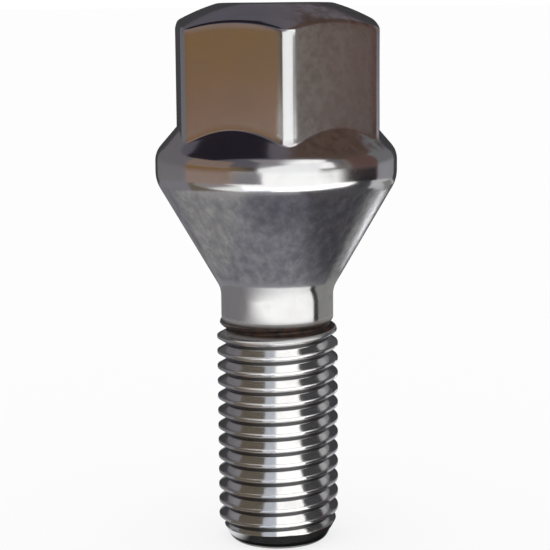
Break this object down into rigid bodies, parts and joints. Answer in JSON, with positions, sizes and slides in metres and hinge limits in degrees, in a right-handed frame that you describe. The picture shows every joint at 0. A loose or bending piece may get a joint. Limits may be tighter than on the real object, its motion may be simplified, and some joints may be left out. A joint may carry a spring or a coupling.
{
  "type": "wheel bolt",
  "caption": "Hex-headed wheel bolt with a domed crown, a round collar, a conical seat and a fine-pitch thread, which clamps a road wheel to its hub.",
  "frame": {"origin": "centre of the flat tip face, on the bolt axis", "axes": "+Z along the bolt axis from the tip to the head; two corners of the hex lie on the Y axis and two of its flats face X"},
  "size_m": [0.0232, 0.0232, 0.0526],
  "materials": {
    "plated_steel": "bright zinc-plated steel, satin to glossy"
  },
  "bodies": {
    "root": {"wheel_bolt": "plated_steel"}
  },
  "joints": []
}
